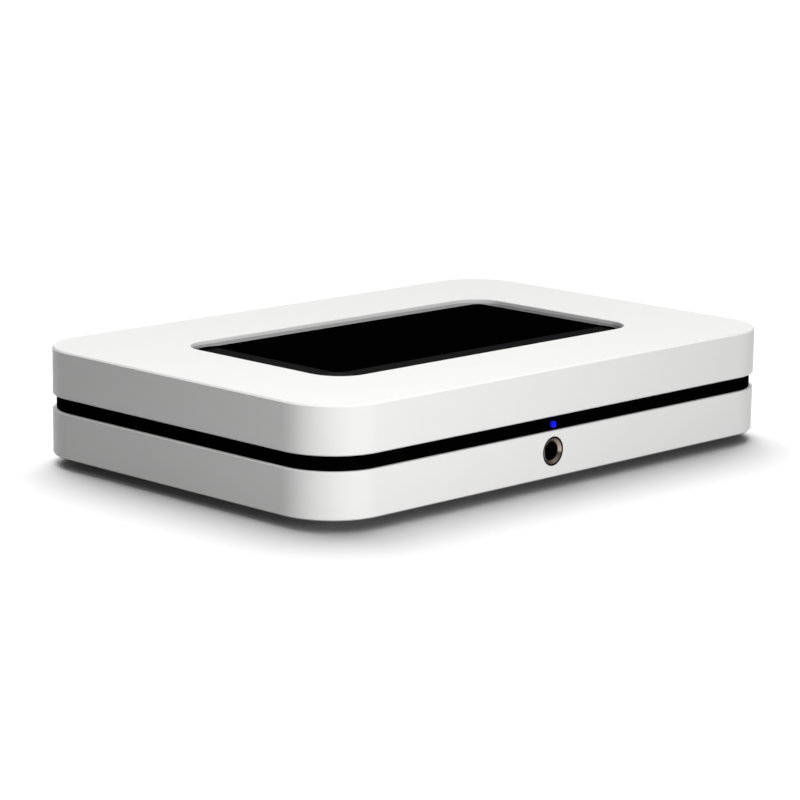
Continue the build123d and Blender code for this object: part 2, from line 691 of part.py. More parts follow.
# Flap: a plate hung from a barrel with a stub pin at each end
flap_w = cavity_w - 2 * FLAP_GAP
flap_low_z = cavity_floor_z + FLAP_GAP
with BuildPart() as optical_shutter:
    with BuildSketch(Plane.YZ.offset(optical_x - flap_w / 2)):
        with Locations((hinge_y, hinge_z)):
            coarse_round(KNUCKLE_R)
        with Locations((hinge_y, (flap_low_z + hinge_z) / 2)):
            Rectangle(FLAP_T, hinge_z - flap_low_z)
    extrude(amount=flap_w)
    with BuildSketch(Plane.YZ.offset(optical_x - cavity_w / 2 - STUB_L + FIT)):
        with Locations((hinge_y, hinge_z)):
            Circle(STUB_R)
    extrude(amount=cavity_w + 2 * (STUB_L - FIT))
pieces["optical_shutter"] = optical_shutter.part

with BuildPart() as optical_emitter:
    with BuildSketch(rear_plane(cavity_y - CAVITY_DEPTH + EMITTER_PROUD)):
        with Locations((optical_x, mouth_z)):
            coarse_round(EMITTER_R)
    extrude(amount=EMITTER_PROUD + OPTICAL_REAR_WALL)
pieces["optical_emitter"] = optical_emitter.part

# Three small jack sockets: moulded bodies whose faces stand in one window of the panel
MINI_FACE_PROUD = 0.4
MINI_BORE_L = 11.0

mini_places = [(x, mini_z) for x in mini_xs]
with BuildPart() as mini_jack_sockets:
    with BuildSketch(rear_plane(panel_y + MINI_FACE_PROUD)):
        with Locations(*mini_places):
            Rectangle(MINI_W, MINI_H)
    extrude(amount=MINI_D)
    with BuildSketch(rear_plane(panel_y + MINI_FACE_PROUD)):
        with Locations(*mini_places):
            Circle(MINI_BORE_R)
    extrude(amount=MINI_BORE_L, mode=Mode.SUBTRACT)
pieces["mini_jack_sockets"] = mini_jack_sockets.part

# Phono sockets: one block of four, with metal sleeves and bored, coloured inserts
RCA_FACE_PROUD = 0.4
RCA_INSERT_SINK = 1.2
RCA_BORE_L = 6.0

rca_front_y = panel_y + RCA_SLEEVE_L
rca_face_y = panel_y + RCA_FACE_PROUD

with BuildPart() as rca_block:
    with BuildSketch(rear_plane(rca_face_y)):
        with Locations((rca_block_x, rca_block_z)):
            Rectangle(rca_block_w, rca_block_h)
    extrude(amount=RCA_BLOCK_D)
pieces["rca_block"] = rca_block.part

with BuildPart() as rca_sleeves:
    with BuildSketch(rear_plane(rca_front_y)):
        with Locations(*rca_places):
            Circle(RCA_SLEEVE_R)
            Circle(RCA_SLEEVE_BORE_R, mode=Mode.SUBTRACT)
    extrude(amount=rca_front_y - rca_face_y)
pieces["rca_sleeves"] = rca_sleeves.part

rca_insert_names = ("rca_insert_right", "rca_insert_left", "rca_insert_digital", "rca_insert_bass")
for insert_name, place in zip(rca_insert_names, rca_places):
    with BuildPart() as rca_insert:
        with BuildSketch(rear_plane(rca_front_y - RCA_INSERT_SINK)):
            with Locations(place):
                coarse_round(RCA_SLEEVE_BORE_R - FIT)
        extrude(amount=rca_front_y - RCA_INSERT_SINK - rca_face_y)
        with BuildSketch(rear_plane(rca_front_y - RCA_INSERT_SINK)):
            with Locations(place):
                coarse_round(RCA_PIN_BORE_R)
        extrude(amount=RCA_BORE_L, mode=Mode.SUBTRACT)
    pieces[insert_name] = rca_insert.part

# Headphone socket: moulded body behind the wall, bevelled metal sleeve through it, three leaf contacts
LEAF_T = 0.4
LEAF_W = 2.0
LEAF_L = 12.0
LEAF_TAIL = 1.5
LEAF_SETBACK = 3.0
sleeve_seat_y = front_y + SLEEVE_L

with BuildPart() as headphone_body:
    with BuildSketch(rear_plane(jack_rear_y)):
        with Locations((JACK_X, jack_z)):
            Rectangle(JACK_W, JACK_H)
    extrude(amount=JACK_L)
    with BuildSketch(rear_plane(sleeve_seat_y + FIT)):
        with Locations((JACK_X, jack_z)):
            coarse_round(SLEEVE_SEAT_R)
    extrude(amount=SLEEVE_L, mode=Mode.SUBTRACT)
    with BuildSketch(rear_plane(jack_front_y + JACK_BORE_L)):
        with Locations((JACK_X, jack_z)):
            coarse_round(JACK_BORE_R)
    extrude(amount=JACK_BORE_L, mode=Mode.SUBTRACT)
    with BuildSketch(rear_plane(jack_rear_y)):
        with Locations(
            (JACK_X - JACK_BORE_R - LEAF_T, jack_z),
            (JACK_X + JACK_BORE_R + LEAF_T, jack_z),
        ):
            Rectangle(2 * LEAF_T + 2 * FIT, LEAF_W + 2 * FIT)
    extrude(amount=LEAF_SETBACK + LEAF_L, mode=Mode.SUBTRACT)
pieces["headphone_body"] = headphone_body.part

with BuildPart() as headphone_sleeve:
    with BuildSketch(rear_plane(sleeve_seat_y)):
        with Locations((JACK_X, jack_z)):
            Circle(SLEEVE_R)
            Circle(SLEEVE_BORE_R, mode=Mode.SUBTRACT)
    extrude(amount=SLEEVE_L)
    sleeve_face = headphone_sleeve.faces().sort_by(Axis.Y)[0]
    bore_edges = sleeve_face.inner_wires()[0].edges()
    chamfer(bore_edges, length=SLEEVE_BEVEL, length2=SLEEVE_BEVEL_DEPTH, reference=sleeve_face)
pieces["headphone_sleeve"] = headphone_sleeve.part

with BuildPart() as headphone_contacts:
    with BuildSketch(rear_plane(jack_rear_y + LEAF_TAIL)):
        with Locations(
            (JACK_X - JACK_BORE_R - LEAF_T, jack_z),
            (JACK_X + JACK_BORE_R + LEAF_T, jack_z),
        ):
            Rectangle(2 * LEAF_T, LEAF_W)
    extrude(amount=LEAF_TAIL + LEAF_SETBACK + LEAF_L - FIT)
pieces["headphone_contacts"] = headphone_contacts.part

# Lamp: a light pipe through the band, and its diode
lens_tip_y = front_y + BAND_INSET - LENS_PROUD
with BuildPart() as status_lens:
    with BuildSketch(rear_plane(lens_tip_y + LENS_L)):
        with Locations((LAMP_X, lamp_z)):
            Circle(LENS_R)
    extrude(amount=LENS_L)
    chamfer(status_lens.faces().sort_by(Axis.Y)[0].edges(), LENS_EDGE)
pieces["status_lens"] = status_lens.part

led_y = lens_tip_y + LENS_L + FIT
with BuildPart() as status_led:
    with BuildSketch(Plane.XY.offset(front_board_z + BOARD_T)):
        with Locations((LAMP_X, led_y + LED_D / 2)):
            Rectangle(LED_W, LED_D)
    extrude(amount=LED_H)
pieces["status_led"] = status_led.part

# Infrared receiver: a small lensed block that looks through the band
RECEIVER_W = 6.0
RECEIVER_D = 4.0
RECEIVER_H = 5.4
RECEIVER_LENS_R = 1.8
RECEIVER_PITCH = 14.0
receiver_x = JACK_X + RECEIVER_PITCH
with BuildPart() as infrared_receiver:
    with BuildSketch(Plane.XY.offset(front_board_z + BOARD_T)):
        with Locations((receiver_x, front_board_y0 + RECEIVER_LENS_R + RECEIVER_D / 2)):
            Rectangle(RECEIVER_W, RECEIVER_D)
        with Locations((receiver_x, front_board_y0 + RECEIVER_LENS_R)):
            Circle(RECEIVER_LENS_R)
    extrude(amount=RECEIVER_H)
pieces["infrared_receiver"] = infrared_receiver.part

# Front board over the headphone socket
with BuildPart() as front_board:
    with BuildSketch(Plane.XY.offset(front_board_z)):
        with Locations((JACK_X, (front_board_y0 + front_board_y1) / 2)):
            Rectangle(FRONT_BOARD_W, FRONT_BOARD_D)
    extrude(amount=BOARD_T)
pieces["front_board"] = front_board.part

# Main board and mains board, with the mains board cut back from the rear screw boss
with BuildPart() as main_board:
    with BuildSketch(Plane.XY.offset(board_z)):
        with Locations(((main_x0 + main_x1) / 2, (main_front_y + board_rear_y) / 2)):
            Rectangle(main_x1 - main_x0, board_rear_y - main_front_y)
        with Locations(*board_screw_places):
            coarse_round(BOARD_HOLE_R, mode=Mode.SUBTRACT)
    extrude(amount=BOARD_T)
pieces["main_board"] = main_board.part

with BuildPart() as power_board:
    with BuildSketch(Plane.XY.offset(board_z)):
        with Locations(((power_x0 + power_x1) / 2, (power_front_y + board_rear_y) / 2)):
            Rectangle(power_x1 - power_x0, board_rear_y - power_front_y)
        with Locations((-WIDTH / 2, DEPTH / 2)):
            Rectangle(2 * power_notch, 2 * power_notch, mode=Mode.SUBTRACT)
        with Locations(*board_screw_places):
            coarse_round(BOARD_HOLE_R, mode=Mode.SUBTRACT)
    extrude(amount=BOARD_T)
pieces["power_board"] = power_board.part

with BuildPart() as board_screws:
    with BuildSketch(Plane.XY.offset(board_top_z)):
        with Locations(*board_screw_places):
            coarse_round(BOARD_HEAD_R)
    extrude(amount=BOARD_HEAD_H)
    with BuildSketch(Plane.XY.offset(board_z - BOARD_GRIP + SLIP)):
        with Locations(*board_screw_places):
            coarse_round(BOARD_SCREW_R)
    extrude(amount=BOARD_GRIP - SLIP + BOARD_T + BOARD_HEAD_H / 2)
pieces["board_screws"] = board_screws.part

SHEET_T = 0.4
with BuildPart() as insulation_sheet:
    with BuildSketch(Plane.XY.offset(floor_z)):
        with Locations(((power_x0 + power_x1) / 2, (power_front_y + board_rear_y) / 2)):
            Rectangle(power_x1 - power_x0, board_rear_y - power_front_y)
        with Locations((-WIDTH / 2, DEPTH / 2)):
            Rectangle(2 * power_notch, 2 * power_notch, mode=Mode.SUBTRACT)
        with Locations(*board_screw_places):
            coarse_round(STANDOFF_R + CUTOUT_GAP, mode=Mode.SUBTRACT)
    extrude(amount=SHEET_T)
pieces["insulation_sheet"] = insulation_sheet.part

# Parts on the main board
PROCESSOR_SIDE = 17.0
PROCESSOR_H = 1.4
SINK_BASE_H = 2.0
SINK_FIN_H = 6.0
SINK_FIN_T = 1.2
SINK_FINS = 8
MEMORY_D = 13.0
MEMORY_PITCH = 15.0
CHIP_H = 1.1
SMALL_CAP_R = 3.15
SMALL_CAP_H = 7.5
SMALL_CAP_PITCH = 9.0
SHIELD_CAN_H = 2.6

processor_place = (sink_x, middle_y)


def on_board_top(place, width, depth, height, level=board_top_z):
    """A plain package standing on a board."""
    with BuildSketch(Plane.XY.offset(level)) as footprint:
        with Locations(place):
            Rectangle(width, depth)
    extrude(footprint.sketch, amount=height)


with BuildPart() as processor:
    on_board_top(processor_place, PROCESSOR_SIDE, PROCESSOR_SIDE, PROCESSOR_H)
pieces["processor"] = processor.part

with BuildPart() as heat_sink:
    on_board_top(processor_place, SINK_SIDE, SINK_SIDE, SINK_BASE_H, board_top_z + PROCESSOR_H)
    with BuildSketch(Plane.XY.offset(board_top_z + PROCESSOR_H + SINK_BASE_H)):
        with Locations(processor_place):
            with GridLocations((SINK_SIDE - SINK_FIN_T) / (SINK_FINS - 1), SINK_SIDE, SINK_FINS, 1):
                Rectangle(SINK_FIN_T, SINK_SIDE)
    extrude(amount=SINK_FIN_H)
pieces["heat_sink"] = heat_sink.part

with BuildPart() as board_chips:
    with BuildSketch(Plane.XY.offset(board_top_z)):
        with Locations((memory_x, middle_y)):
            with GridLocations(MEMORY_W, MEMORY_PITCH, 1, 2):
                Rectangle(MEMORY_W, MEMORY_D)
        with Locations((audio_x, middle_y)):
            with GridLocations(AUDIO_CHIP_PITCH, AUDIO_CHIP_PITCH, 3, 2):
                Rectangle(AUDIO_CHIP_SIDE, AUDIO_CHIP_SIDE)
    extrude(amount=CHIP_H)
pieces["board_chips"] = board_chips.part

with BuildPart() as shield_can:
    on_board_top(shield_can_place, SHIELD_CAN_W, SHIELD_CAN_D, SHIELD_CAN_H)
pieces["shield_can"] = shield_can.part

# Touch board under the recess, and the flat cable from it to the main board
TOUCH_BOARD_W = 124.0
TOUCH_BOARD_D = 58.0
TOUCH_BOARD_T = 1.0
SOCKET_D = 14.0
SOCKET_H = 2.4
RIBBON_T = 0.3
RIBBON_W = 12.0

touch_board_z = tray_z - TOUCH_BOARD_T
ribbon_x = ribbon_row_x + RIBBON_LEAD / 2
ribbon_y = middle_y
ribbon_low_z = board_top_z + SOCKET_H / 2
ribbon_high_z = touch_board_z - SOCKET_H / 2

with BuildPart() as touch_board:
    with BuildSketch(Plane.XY.offset(touch_board_z)):
        Rectangle(TOUCH_BOARD_W, TOUCH_BOARD_D)
    extrude(amount=TOUCH_BOARD_T)
pieces["touch_board"] = touch_board.part

with BuildPart() as touch_ribbon:
    ribbon_start_x = ribbon_x - SOCKET_W / 2
    ribbon_turn_x = ribbon_start_x - RIBBON_LEAD
    with BuildSketch(rear_plane(ribbon_y)):
        with BuildLine() as ribbon_path:
            Polyline(
                (ribbon_start_x, ribbon_high_z),
                (ribbon_turn_x, ribbon_high_z),
                (ribbon_turn_x, ribbon_low_z),
                (ribbon_start_x, ribbon_low_z),
            )
        trace(line_width=RIBBON_T)
    extrude(amount=RIBBON_W / 2, both=True)
pieces["touch_ribbon"] = touch_ribbon.part

# Flat cable from the front board down to the main board
FRONT_PLUG_W = 14.0
FRONT_PLUG_D = 4.0
FRONT_CABLE_T = 1.0
FRONT_CABLE_W = 11.0

front_cable_x = JACK_X + FRONT_BOARD_W / 4
front_plug_y = front_board_y1 - FRONT_PLUG_D
main_plug_y = main_front_y + 2 * FRONT_PLUG_D
with BuildPart() as front_cable:
    cable_start_y = front_plug_y + FRONT_PLUG_D / 2
    cable_end_y = main_plug_y - FRONT_PLUG_D / 2
    cable_turn_y = (front_board_y1 + main_front_y) / 2
    cable_high_z = front_board_z + BOARD_T + SOCKET_H / 2
    cable_low_z = board_top_z + SOCKET_H / 2
    with BuildSketch(Plane.YZ.offset(front_cable_x)):
        with BuildLine():
            Polyline(
                (cable_start_y, cable_high_z),
                (cable_turn_y, cable_high_z),
                (cable_turn_y, cable_low_z),
                (cable_end_y, cable_low_z),
            )
        trace(line_width=FRONT_CABLE_T)
    extrude(amount=FRONT_CABLE_W / 2, both=True)
pieces["front_cable"] = front_cable.part

# Aerials on the side walls, with thin leads from the shield can
AERIAL_L = 42.0
AERIAL_H = 7.0
AERIAL_T = 0.8
AERIAL_RISE = 2.8
LEAD_W = 1.2
LEAD_SPREAD = 8.0

aerial_z = band_top_z + AERIAL_RISE + AERIAL_H / 2
lead_z = board_top_z + SHIELD_CAN_H
lead_y = can_y

with BuildPart() as aerials:
    for side in (-1, 1):
        with BuildSketch(Plane.YZ.offset(side * (WIDTH / 2 - WALL))):
            with Locations((lead_y, aerial_z)):
                Rectangle(AERIAL_L, AERIAL_H)
        extrude(amount=-side * AERIAL_T)
pieces["aerials"] = aerials.part

with BuildPart() as aerial_leads:
    for side in (-1, 1):
        lead_x = shield_can_place[0] + side * LEAD_SPREAD
        with BuildSketch(rear_plane(lead_y + LEAD_W / 2)):
            with BuildLine():
                Polyline(
                    (lead_x, lead_z),
                    (lead_x, aerial_z),
                    (side * (WIDTH / 2 - WALL - AERIAL_T), aerial_z),
                )
            trace(line_width=LEAD_W)
        extrude(amount=LEAD_W)
pieces["aerial_leads"] = aerial_leads.part

# Parts on the mains board
CORE_H = 17.0
CORE_LEG = 4.5
WINDING_GAP = 0.2
CHOKE_W = 16.0
CHOKE_H = 13.0
FUSE_R = 2.6
CLIP_W = 7.0
CLIP_L = 5.0
CLIP_RISE = 1.0
PLATE_H = 18.0
TRANSISTOR_W = 10.0
TRANSISTOR_T = 4.2
TRANSISTOR_H = 15.0
POWER_CAP_H = 12.0

core_place = (right_column_x, core_y)
fuse_place = (left_column_x, fuse_y)
plate_place = (power_x0 + PART_GAP + PLATE_T / 2, plate_y)

with BuildPart() as transformer_core:
    on_board_top(core_place, CORE_W, CORE_D, CORE_H)
    with BuildSketch(Plane.XZ.offset(-(core_place[1] + CORE_D / 2 + OVERRUN))):
        with Locations((core_place[0], board_top_z + CORE_H / 2)):
            Rectangle(CORE_W - 2 * CORE_LEG, CORE_H - 2 * CORE_LEG)
    extrude(amount=CORE_D + 2 * OVERRUN, mode=Mode.SUBTRACT)
pieces["transformer_core"] = transformer_core.part

with BuildPart() as transformer_winding:
    with BuildSketch(Plane.XZ.offset(-(core_place[1] + CORE_D / 2 + OVERRUN))):
        with Locations((core_place[0], board_top_z + CORE_H / 2)):
            Rectangle(CORE_W - 2 * (CORE_LEG + WINDING_GAP), CORE_H - 2 * (CORE_LEG + WINDING_GAP))
    extrude(amount=CORE_D + 2 * OVERRUN)
pieces["transformer_winding"] = transformer_winding.part

with BuildPart() as bulk_capacitor:
    with BuildSketch(rear_plane(bulk_y + BULK_L / 2)):
        with Locations((left_column_x, board_top_z + BULK_R)):
            coarse_round(BULK_R)
    extrude(amount=BULK_L)
pieces["bulk_capacitor"] = bulk_capacitor.part

with BuildPart() as mains_choke:
    with BuildSketch(Plane.XY.offset(board_top_z)):
        with Locations((right_column_x, choke_y)):
            Rectangle(CHOKE_W, CHOKE_D)
    extrude(amount=CHOKE_H)
pieces["mains_choke"] = mains_choke.part

with BuildPart() as mains_fuse:
    with BuildSketch(rear_plane(fuse_place[1] + FUSE_L / 2)):
        with Locations((fuse_place[0], board_top_z + CLIP_RISE + FUSE_R)):
            coarse_round(FUSE_R)
    extrude(amount=FUSE_L)
pieces["mains_fuse"] = mains_fuse.part

with BuildPart() as fuse_clips:
    for step in (-1, 1):
        clip_place = (fuse_place[0], fuse_place[1] + step * (FUSE_L - CLIP_L) / 2)
        on_board_top(clip_place, CLIP_W, CLIP_L, CLIP_RISE + FUSE_R)
    with BuildSketch(rear_plane(fuse_place[1] + FUSE_L / 2 + OVERRUN)):
        with Locations((fuse_place[0], board_top_z + CLIP_RISE + FUSE_R)):
            coarse_round(FUSE_R + FIT)
    extrude(amount=FUSE_L + 2 * OVERRUN, mode=Mode.SUBTRACT)
pieces["fuse_clips"] = fuse_clips.part

with BuildPart() as power_heat_sink:
    on_board_top(plate_place, PLATE_T, PLATE_L, PLATE_H)
pieces["power_heat_sink"] = power_heat_sink.part

with BuildPart() as power_transistor:
    transistor_x = plate_place[0] + (PLATE_T + TRANSISTOR_T) / 2
    on_board_top((transistor_x, plate_place[1]), TRANSISTOR_T, TRANSISTOR_W, TRANSISTOR_H)
pieces["power_transistor"] = power_transistor.part

with BuildPart() as small_capacitors:
    with BuildSketch(Plane.XY.offset(board_top_z)):
        with Locations((power_cap_x, power_cap_y)):
            with GridLocations(POWER_CAP_PITCH, POWER_CAP_PITCH, 2, 2):
                coarse_round(POWER_CAP_R)
    extrude(amount=POWER_CAP_H)
    with BuildSketch(Plane.XY.offset(board_top_z)):
        with Locations((audio_x, small_cap_y)):
            with GridLocations(SMALL_CAP_PITCH, SMALL_CAP_PITCH, 4, 1):
                coarse_round(SMALL_CAP_R)
    extrude(amount=SMALL_CAP_H)
pieces["small_capacitors"] = small_capacitors.part

# Low-voltage cable between the two boards, with a plug at each end
PLUG_H = 7.0
CABLE_T = 1.6
CABLE_W = 10.0
CABLE_RISE = 5.0

with BuildPart() as power_cable:
    plug_top_z = board_top_z + PLUG_H
    with BuildSketch(rear_plane(plug_y)):
        with BuildLine():
            FilletPolyline(
                (plug_xs[0], plug_top_z),
                (plug_xs[0], plug_top_z + CABLE_RISE),
                (plug_xs[1], plug_top_z + CABLE_RISE),
                (plug_xs[1], plug_top_z),
                radius=2 * CABLE_T,
            )
        trace(line_width=CABLE_T)
    extrude(amount=CABLE_W / 2, both=True)
pieces["power_cable"] = power_cable.part

# The sockets that the three flat cables end in
with BuildPart() as cable_sockets:
    for level in (board_top_z, touch_board_z - SOCKET_H):
        on_board_top((ribbon_x, ribbon_y), SOCKET_W, SOCKET_D, SOCKET_H, level)
    on_board_top((front_cable_x, front_plug_y), FRONT_PLUG_W, FRONT_PLUG_D, SOCKET_H, front_board_z + BOARD_T)
    on_board_top((front_cable_x, main_plug_y), FRONT_PLUG_W, FRONT_PLUG_D, SOCKET_H)
    for plug_x in plug_xs:
        on_board_top((plug_x, plug_y), PLUG_W, PLUG_D, PLUG_H)
pieces["cable_sockets"] = cable_sockets.part

os.makedirs("parts", exist_ok=True)
for name, piece in pieces.items():
    piece.label = name
    export_step(piece, f"parts/{name}.step")
print(len(pieces), "pieces")
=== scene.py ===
import json
import math

import bmesh
import bpy
from mathutils import Matrix, Vector

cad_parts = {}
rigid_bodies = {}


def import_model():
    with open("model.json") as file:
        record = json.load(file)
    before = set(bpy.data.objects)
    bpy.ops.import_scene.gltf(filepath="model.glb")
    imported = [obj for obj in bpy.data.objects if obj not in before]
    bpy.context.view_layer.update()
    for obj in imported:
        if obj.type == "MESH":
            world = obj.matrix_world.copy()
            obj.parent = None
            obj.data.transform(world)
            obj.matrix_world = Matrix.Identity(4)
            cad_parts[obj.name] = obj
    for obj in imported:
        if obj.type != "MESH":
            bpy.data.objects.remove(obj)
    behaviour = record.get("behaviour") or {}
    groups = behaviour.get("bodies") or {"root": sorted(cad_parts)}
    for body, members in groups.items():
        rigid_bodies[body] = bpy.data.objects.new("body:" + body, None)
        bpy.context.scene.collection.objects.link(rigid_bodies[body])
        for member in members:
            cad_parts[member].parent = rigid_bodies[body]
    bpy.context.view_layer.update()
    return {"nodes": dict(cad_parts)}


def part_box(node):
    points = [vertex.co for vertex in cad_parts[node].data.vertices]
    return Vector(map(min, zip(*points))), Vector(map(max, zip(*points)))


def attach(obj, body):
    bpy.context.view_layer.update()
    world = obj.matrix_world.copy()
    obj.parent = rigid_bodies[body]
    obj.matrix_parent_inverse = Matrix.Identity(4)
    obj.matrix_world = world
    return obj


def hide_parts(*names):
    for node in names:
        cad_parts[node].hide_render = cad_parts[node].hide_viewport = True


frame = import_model()
nodes = frame["nodes"]

# Units and the fineness of round pieces
MM = 0.001
WELD = 0.001 * MM
SHARP = math.radians(32.0)
SIDES = 64
DOME_STEPS = 8
QUARTER_TURN = math.pi / 2
FULL_TURN = 2 * math.pi

# Camera: azimuth and elevation in degrees, roll clockwise, distance and aim in metres
CAMERA_AZIMUTH = -45.7
CAMERA_ELEVATION = 11.66
CAMERA_ROLL = 0.86
CAMERA_DISTANCE = 1.038
CAMERA_LENS_MM = 135.09
SENSOR_MM = 36.0
TARGET = Vector((0.0, 0.0, 0.017))
AIM_LEFT = 0.00395
AIM_UP = 0.0001

# Surfaces: noise cells per metre, depth of the grain, and spread of colour and gloss
GRAIN = 2400.0
GLASS_GRAIN = 60.0
LENS_GRAIN = 900.0
FLOOR_GRAIN = 2.0
GRAINS_PER_CLOUD = 40.0
NOISE_DETAIL = 3.0
BUMP_DETAIL = 2.0
FINE_DEPTH = 0.01 * MM
PANEL_DEPTH = 0.03 * MM
GLASS_DEPTH = 0.001 * MM
TINT_SPREAD = 0.02
SHELL_SPREAD = 0.008
GLOSS_SPREAD = 0.1

# Glow of the lamp's lens: share of its radius, and colour
LENS_GLOW = (
    (0.0, (0.0, 0.0, 0.66)),
    (0.6, (0.001, 0.001, 0.7)),
    (0.8, (0.008, 0.01, 0.5)),
    (1.0, (0.003, 0.004, 0.3)),
)

# Headphone socket
SLEEVE_LIP = 0.1 * MM
SLEEVE_LAND = 0.3 * MM
SLEEVE_BORE = 3.2 * MM
SLEEVE_BEVEL = 0.75 * MM
# Black ring in the gap round the sleeve, which is painted shade: its gap, width, sink and depth
SHADE_RING_GAP = 0.01 * MM
SHADE_RING_W = 0.65 * MM
SHADE_RING_SINK = 0.08 * MM
SHADE_RING_DEPTH = 2.0 * MM

# Lamp
LENS_RISE = 0.45 * MM

# Phono sockets
INSERTS = ("rca_insert_right", "rca_insert_left", "rca_insert_digital", "rca_insert_bass")
PHONO_LIP = 0.25 * MM
PHONO_SLACK = 0.05 * MM
PIN_HOLE_R = 1.6 * MM
PIN_HOLE_L = 6.0 * MM
SINK_R = 0.3 * MM

# Collars of the small jack sockets
COLLAR_R = 2.7 * MM
COLLAR_BORE = 1.7 * MM
COLLAR_PROUD = 0.25 * MM
COLLAR_L = 3.0 * MM

# Feet
FOOT_EDGE = 0.5 * MM
FOOT_TURN = FOOT_EDGE / 3
FOOT_HOLLOW = 0.3 * MM
FOOT_TREAD = 1.8 * MM

# Floor
FLOOR_SIZE = 8.0

# Light: places and aims in metres, powers in watts
SKY_LIGHT = 0.35
SKY_LOW = 0.26
SKY_HIGH = 0.8
SUN_POWER = 3.6
SUN_ANGLE = math.radians(62.0)
SUN_FROM = (0.45, 0.62, 1.0)
BOX_SIDE = 0.12
FRONT_BOX = (-0.12, -0.75, 0.26)
FRONT_AIM = (-0.07, -0.07, 0.02)
FRONT_POWER = 2.85
LEFT_BOX = (-0.46, -0.32, 0.22)
LEFT_AIM = (-0.11, -0.05, 0.02)
LEFT_POWER = 0.6
LOW_Z = BOX_SIDE / 2
FRONT_LOW = (-0.07, -0.45, LOW_Z)
FRONT_LOW_AIM = (-0.07, 0.0, LOW_Z)
FRONT_LOW_POWER = 0.42
LEFT_LOW = (-0.5, -0.22, LOW_Z)
LEFT_LOW_AIM = (-0.1, -0.05, LOW_Z)
LEFT_LOW_POWER = 0.27


def link(obj):
    """Adds an object to the scene and gives it back."""
    bpy.context.scene.collection.objects.link(obj)
    return obj


def rgba(colour):
    """The same colour, opaque."""
    return (*colour, 1.0)


def new_material(name):
    """A new material, its node tree and its Principled shader."""
    material = bpy.data.materials.new(name)
    material.use_nodes = True
    tree = material.node_tree
    return material, tree, tree.nodes["Principled BSDF"]


def position(tree):
    """The object's own coordinates, in metres."""
    return tree.nodes.new("ShaderNodeTexCoord").outputs["Object"]


def noise(tree, scale, detail=NOISE_DETAIL):
    """A noise texture over the object's own coordinates."""
    texture = tree.nodes.new("ShaderNodeTexNoise")
    texture.inputs["Scale"].default_value = scale
    texture.inputs["Detail"].default_value = detail
    tree.links.new(position(tree), texture.inputs["Vector"])
    return texture.outputs["Fac"]


def ramp(tree, value, low, high):
    """Maps a value from 0 to 1 onto a range between two numbers or two colours."""
    node = tree.nodes.new("ShaderNodeMix")
    if isinstance(low, tuple):
        node.data_type = "RGBA"
        first, second, result = node.inputs[6], node.inputs[7], node.outputs[2]
        first.default_value = rgba(low)
        second.default_value = rgba(high)
    else:
        node.data_type = "FLOAT"
        first, second, result = node.inputs[2], node.inputs[3], node.outputs[0]
        first.default_value = low
        second.default_value = high
    tree.links.new(value, node.inputs[0])
    return result


def bump(tree, height, distance, shader):
    """Raises the surface by a height map, distance metres at most."""
    node = tree.nodes.new("ShaderNodeBump")
    node.inputs["Distance"].default_value = distance
    tree.links.new(height, node.inputs["Height"])
    tree.links.new(node.outputs["Normal"], shader.inputs["Normal"])


def moulded(
    name, colour, roughness, grain=GRAIN, depth=FINE_DEPTH, spread=TINT_SPREAD, specular=0.5, metallic=0.0
):
    """Moulded plastic or plated metal: slightly uneven colour and gloss, and a fine grain."""
    material, tree, shader = new_material(name)
    light = tuple(part * (1.0 + spread) for part in colour)
    dark = tuple(part * (1.0 - spread) for part in colour)
    clouds = noise(tree, grain / GRAINS_PER_CLOUD)
    tree.links.new(ramp(tree, clouds, dark, light), shader.inputs["Base Color"])
    smooth = roughness * (1.0 - GLOSS_SPREAD)
    rough = roughness * (1.0 + GLOSS_SPREAD)
    tree.links.new(ramp(tree, noise(tree, grain), smooth, rough), shader.inputs["Roughness"])
    shader.inputs["Metallic"].default_value = metallic
    shader.inputs["Specular IOR Level"].default_value = specular
    bump(tree, noise(tree, grain, BUMP_DETAIL), depth, shader)
    return material


def vector_step(tree, operation, vector, constant):
    """Combines a vector with a constant one."""
    node = tree.nodes.new("ShaderNodeVectorMath")
    node.operation = operation
    node.inputs[1].default_value = constant
    tree.links.new(vector, node.inputs[0])
    return node.outputs["Vector"]


def glowing_lens(name, middle, radius):
    """Blue plastic that glows, brighter in the middle of a round lens with its axis along Y."""
    material, tree, shader = new_material(name)
    offset = vector_step(tree, "SUBTRACT", position(tree), middle)
    flat = vector_step(tree, "MULTIPLY", offset, (1.0 / radius, 0.0, 1.0 / radius))
    reach = tree.nodes.new("ShaderNodeVectorMath")
    reach.operation = "LENGTH"
    tree.links.new(flat, reach.inputs[0])
    glow = tree.nodes.new("ShaderNodeValToRGB")
    for share, _ in LENS_GLOW[1:-1]:
        glow.color_ramp.elements.new(share)
    for stop, (share, colour) in zip(glow.color_ramp.elements, LENS_GLOW):
        stop.position = share
        stop.color = rgba(colour)
    tree.links.new(reach.outputs["Value"], glow.inputs["Fac"])
    tree.links.new(glow.outputs["Color"], shader.inputs["Base Color"])
    tree.links.new(glow.outputs["Color"], shader.inputs["Emission Color"])
    tree.links.new(ramp(tree, noise(tree, LENS_GRAIN), 0.3, 0.4), shader.inputs["Roughness"])
    shader.inputs["Specular IOR Level"].default_value = 0.1
    shader.inputs["Emission Strength"].default_value = 1.0
    return material


def shine(material, colour, strength):
    """Lets a material give off light of one colour."""
    shader = material.node_tree.nodes["Principled BSDF"]
    shader.inputs["Emission Color"].default_value = rgba(colour)
    shader.inputs["Emission Strength"].default_value = strength


def dress(material, *names):
    """Gives CAD nodes a material in place of their plain one."""
    for name in names:
        slots = nodes[name].data.materials
        slots.clear()
        slots.append(material)


def middle_and_radius(low, high):
    """The middle of a box, and half its width, which is the radius of a round piece."""
    return (low + high) / 2, (high.x - low.x) / 2


